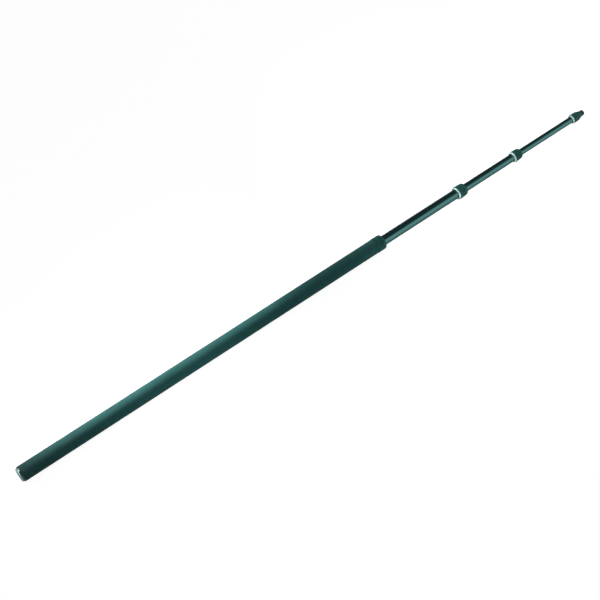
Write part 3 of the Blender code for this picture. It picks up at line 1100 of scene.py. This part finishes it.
def lock_nut(name, tube_radius, inner_radius, start):
    """A moulded lock nut: a seat for its sleeve, a round nose, and a thread and cone inside."""
    node = f"{name}_nut"
    length, rear = reach(node)[1:]
    nose_start, outside = nut_outside(name)
    seat_end = nose_start - NUT_FRONT_RIM
    depth = SLEEVE_THICKNESS + FIT_GAP
    bore = barrel_radius(tube_radius) + FIT_GAP
    tip_bore = inner_radius + 2 * FIT_GAP + FINGER_TIP
    nose_bore = inner_radius + NOSE_GAP
    shoulder = FINGER_END + NUT_END_ROOM
    front = nose_bore + NUT_NOSE_LIP
    small = MOULDED_EDGE
    corners = [
        (0.0, bore, small),
        (0.0, rear, REAR_ROUND),
        (NUT_REAR_RIM, outside(NUT_REAR_RIM), small),
        (NUT_REAR_RIM, outside(NUT_REAR_RIM) - depth, small),
        (seat_end, outside(seat_end) - depth, small),
        (seat_end, outside(seat_end), small),
        (nose_start, outside(nose_start), 0.0),
    ]
    outline = eased(corners)[:-1]
    for step in range(NOSE_STEPS + 1):
        angle = math.pi / 2 * (1.0 - step / NOSE_STEPS)
        x = nose_start + NUT_NOSE * math.cos(angle)
        outline.append((x, front + (outside(nose_start) - front) * math.sin(angle)))
    outline += [
        (length, nose_bore),
        (shoulder, nose_bore),
        (shoulder, tip_bore),
        (FINGER_END, tip_bore),
        (BARREL_LENGTH, bore),
    ]
    outline = divided(outline, LOCK_ROW, bore - small, bore + small)
    piece = turned(f"{node}_moulded", outline, start, "moulded")
    lock_thread(piece, bore, small, start, -LOCK_DEPTH)
    stands_for(piece, node)


def nut_sleeve(name, start):
    """The ribbed rubber in a nut's seat."""
    node = f"{name}_nut_sleeve"
    nose_start, outside = nut_outside(name)
    rib_start = NUT_REAR_RIM + FIT_GAP
    rib_end = nose_start - NUT_FRONT_RIM - FIT_GAP
    corners = [
        (rib_start, outside(rib_start) - SLEEVE_THICKNESS, SLEEVE_BORE_EDGE),
        (rib_start, outside(rib_start), SLEEVE_ROUND),
        (rib_end, outside(rib_end), SLEEVE_ROUND),
        (rib_end, outside(rib_end) - SLEEVE_THICKNESS, SLEEVE_BORE_EDGE),
    ]
    middle = (outside(rib_start) + outside(rib_end)) / 2
    half = SLEEVE_THICKNESS / 2
    outline = divided(eased(corners), RIB_ROW, middle - half, middle + half)
    piece = turned(f"{node}_ribbed", outline, start, "rubber", RIBBED_SEGMENTS)
    run(
        piece,
        GROOVES,
        wall=middle,
        wall_room=RIB_WALL_ROOM,
        start=start + rib_start,
        end=start + rib_end,
        run_out=RIB_RUN_OUT,
        starts=float(RIB_COUNT),
        lines=0.0,
        crest=RIB_CREST,
        root=RIB_ROOT,
        depth=RIB_DEPTH,
    )
    stands_for(piece, node)


def tip_ring():
    """The white ring behind the tip's socket."""
    start, length, radius = reach("tip_ring")
    inner = reach("tip_tube")[2] + FIT_GAP
    corners = [(0.0, inner, TURNED_EDGE), (0.0, radius, RING_ROUND)]
    corners += [(length, radius, TURNED_EDGE), (length, inner, TURNED_EDGE)]
    piece = turned("tip_ring_turned", eased(corners), start, "white")
    stands_for(piece, "tip_ring")


def tip_socket():
    """The fitting on the tip tube: a barrel, then a taper down to the stud."""
    start, length, radius = reach("tip_socket")
    seat = reach("tip_tube")[2] + FIT_GAP
    hole = STUD_SHANK_RADIUS + FIT_GAP
    small = MOULDED_EDGE
    corners = [
        (0.0, seat, small),
        (0.0, radius, REAR_ROUND),
        (SOCKET_BARREL, radius - SOCKET_TAPER, SOCKET_WAIST_ROUND),
        (length, STUD_RADIUS + SHOULDER_WIDTH, SOCKET_FRONT_ROUND),
        (length, hole, small),
        (SOCKET_SEAT, hole, 0.0),
        (SOCKET_SEAT, seat, small),
    ]
    piece = turned("tip_socket_moulded", eased(corners), start, "moulded")
    stands_for(piece, "tip_socket")


def mic_stud():
    """The stud that carries the microphone, with its real thread above a neck."""
    start, length = reach("mic_stud")[:2]
    socket_start, socket_length = reach("tip_socket")[:2]
    base = socket_start + socket_length + FIT_GAP - start
    neck = STUD_RADIUS - STUD_NECK_DEPTH
    thread_start = base + STUD_NECK_LENGTH
    half_neck = STUD_NECK_DEPTH / 2
    small = STUD_EDGE
    corners = [
        (0.0, 0.0, 0.0),
        (0.0, STUD_SHANK_RADIUS, small),
        (base, STUD_SHANK_RADIUS, 0.0),
        (base, neck, small),
        (thread_start, neck, small),
        (thread_start + STUD_NECK_DEPTH, STUD_RADIUS, small),
        (length, STUD_RADIUS, STUD_ROUND),
        (length, 0.0, 0.0),
    ]
    outline = divided(eased(corners), STUD_ROW, STUD_RADIUS - half_neck, STUD_RADIUS + small)
    piece = turned("mic_stud_threaded", outline, start, "stud")
    run(
        piece,
        GROOVES,
        wall=STUD_RADIUS,
        wall_room=half_neck,
        start=start + thread_start,
        end=start + length - STUD_ROUND / 2,
        run_out=STUD_PITCH,
        starts=1.0,
        lines=per(STUD_PITCH),
        crest=STUD_CREST,
        root=STUD_ROOT,
        depth=STUD_DEPTH,
    )
    stands_for(piece, "mic_stud")


def hidden_pieces():
    """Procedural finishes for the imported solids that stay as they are, inside the pole."""
    inside = {"handle_tube": "tube", "cap_bumper": "rubber"}
    for section in SLIDING:
        inside[f"{section}_guide_plug"] = "acetal"
        inside[f"{section}_guide_ring"] = "acetal"
    for node, finish in inside.items():
        frame["nodes"][node].material_slots[0].material = FINISHES[finish]


def photo_camera():
    """The photo's camera, turned about its target from straight in front."""
    data = bpy.data.cameras.new("photo_camera")
    data.lens = CAMERA_LENS
    data.sensor_width = CAMERA_SENSOR
    camera = bpy.data.objects.new("photo_camera", data)
    level = math.cos(CAMERA_ELEVATION)
    back = Vector(
        (
            math.sin(CAMERA_AZIMUTH) * level,
            -math.cos(CAMERA_AZIMUTH) * level,
            math.sin(CAMERA_ELEVATION),
        )
    )
    camera.location = CAMERA_TARGET + back * CAMERA_DISTANCE
    camera.rotation_euler = Euler((math.pi / 2 - CAMERA_ELEVATION, 0.0, CAMERA_AZIMUTH))
    bpy.context.scene.collection.objects.link(camera)
    bpy.context.scene.camera = camera


def white_floor(level):
    """A pale floor that keeps the pole's shadow, and is white to the camera and in reflections."""
    made = bpy.data.materials.new("paper_white_matt")
    made.use_nodes = True
    tree = made.node_tree
    tree.nodes.clear()
    path = add(tree, "ShaderNodeLightPath").outputs
    seen = add(
        tree,
        "ShaderNodeMath",
        {0: path["Is Camera Ray"], 1: path["Is Transmission Ray"]},
        operation="MAXIMUM",
    ).outputs[0]
    place = add(tree, "ShaderNodeTexCoord").outputs["Object"]
    spot = add(tree, "ShaderNodeSeparateXYZ", {"Vector": place}).outputs
    near = add(
        tree,
        "ShaderNodeMapRange",
        {
            "Value": spot["Y"],
            "From Min": FLOOR_NEAR_FROM,
            "From Max": FLOOR_NEAR_TO,
            "To Min": FLOOR_FAR,
            "To Max": FLOOR_NEAR,
        },
    ).outputs["Result"]
    behind = add(
        tree,
        "ShaderNodeMapRange",
        {
            "Value": spot["X"],
            "From Min": FLOOR_BEHIND_FROM,
            "From Max": FLOOR_BEHIND_TO,
            "To Min": FLOOR_FAR,
            "To Max": FLOOR_BEHIND,
        },
    ).outputs["Result"]
    bright = add(tree, "ShaderNodeMath", {0: near, 1: behind}, operation="MAXIMUM").outputs[0]
    mirrored = add(
        tree,
        "ShaderNodeMath",
        {0: path["Is Glossy Ray"], 1: bright},
        operation="MULTIPLY",
    ).outputs[0]
    lift = add(
        tree,
        "ShaderNodeMath",
        {0: seen, 1: FLOOR_TO_CAMERA, 2: mirrored},
        operation="MULTIPLY_ADD",
    ).outputs[0]
    grey = (FLOOR_GREY, FLOOR_GREY, FLOOR_GREY, 1.0)
    paper = add(tree, "ShaderNodeBsdfDiffuse", {"Color": grey}).outputs["BSDF"]
    glow = add(tree, "ShaderNodeEmission", {"Strength": lift}).outputs["Emission"]
    both = add(tree, "ShaderNodeAddShader", {0: paper, 1: glow}).outputs["Shader"]
    add(tree, "ShaderNodeOutputMaterial", {"Surface": both})
    shape = bmesh.new()
    bmesh.ops.create_grid(shape, x_segments=1, y_segments=1, size=FLOOR_SIZE)
    mesh = bpy.data.meshes.new("floor")
    shape.to_mesh(mesh)
    shape.free()
    mesh.materials.append(made)
    floor = bpy.data.objects.new("floor", mesh)
    floor.location = (0.0, 0.0, level)
    bpy.context.scene.collection.objects.link(floor)


def white_surround():
    """A studio that is white to the camera, and whose white card the glossy tubes show."""
    world = bpy.data.worlds.new("white_studio")
    world.use_nodes = True
    # Rays find the surround by themselves, since its brightness depends on the kind of ray
    world.cycles.sampling_method = "NONE"
    bpy.context.scene.world = world
    tree = world.node_tree
    tree.nodes.clear()
    path = add(tree, "ShaderNodeLightPath").outputs
    direction = add(tree, "ShaderNodeTexCoord").outputs["Generated"]
    heading = add(tree, "ShaderNodeSeparateXYZ", {"Vector": direction}).outputs
    near = add(
        tree,
        "ShaderNodeMapRange",
        {"Value": heading["Y"], "From Min": CARD_NEAR_FROM, "From Max": CARD_NEAR_TO},
    ).outputs["Result"]
    behind = add(
        tree,
        "ShaderNodeMapRange",
        {"Value": heading["X"], "From Min": CARD_BEHIND_FROM, "From Max": CARD_BEHIND_TO},
    ).outputs["Result"]
    side = add(tree, "ShaderNodeMath", {0: near, 1: behind}, operation="MAXIMUM").outputs[0]
    low = add(
        tree,
        "ShaderNodeMapRange",
        {"Value": heading["Z"], "From Min": CARD_LOW_FROM, "From Max": CARD_LOW_TO},
    ).outputs["Result"]
    card = add(tree, "ShaderNodeMath", {0: side, 1: low}, operation="MULTIPLY").outputs[0]
    shown = add(
        tree,
        "ShaderNodeMapRange",
        {"Value": card, "To Min": SURROUND_DARK, "To Max": SURROUND_CARD},
    ).outputs["Result"]
    on_pole = add(
        tree,
        "ShaderNodeMix",
        {"Factor": path["Is Glossy Ray"], "A": SURROUND_ON_MATT, "B": shown},
    ).outputs["Result"]
    strength = add(
        tree,
        "ShaderNodeMix",
        {"Factor": path["Is Camera Ray"], "A": on_pole, "B": 1.0},
    ).outputs["Result"]
    sky = add(
        tree,
        "ShaderNodeBackground",
        {"Color": (1.0, 1.0, 1.0, 1.0), "Strength": strength},
    ).outputs["Background"]
    add(tree, "ShaderNodeOutputWorld", {"Surface": sky})


def soft_lamps():
    """Soft light from behind and above, with less from the near side and from the butt's end."""
    for name, place, station, size, power, spread, on_matt, on_gloss in LAMPS:
        data = bpy.data.lights.new(name, "AREA")
        data.size = size
        data.energy = power
        data.spread = math.radians(spread)
        lamp = bpy.data.objects.new(name, data)
        lamp.location = place
        away = Vector(place) - Vector((station, 0.0, 0.0))
        lamp.rotation_euler = away.to_track_quat("Z", "Y").to_euler()
        lamp.visible_camera = False
        lamp.visible_diffuse = on_matt
        lamp.visible_glossy = on_gloss
        bpy.context.scene.collection.objects.link(lamp)


photo_camera()
butt_cap()
foam_grip()
radii = [reach(f"{section}_tube")[2] for section in SECTIONS]
for section, outer, inner in zip(LOCKED, radii, radii[1:]):
    nut_start = reach(f"{section}_nut")[0]
    collet(section, outer, inner, nut_start)
    lock_nut(section, outer, inner, nut_start)
    nut_sleeve(section, nut_start)
for section in SLIDING:
    tube(f"{section}_tube")
tip_ring()
tip_socket()
mic_stud()
hidden_pieces()
white_floor(-reach("handle_nut")[2])
white_surround()
soft_lamps()

bpy.context.scene.view_settings.view_transform = "Standard"
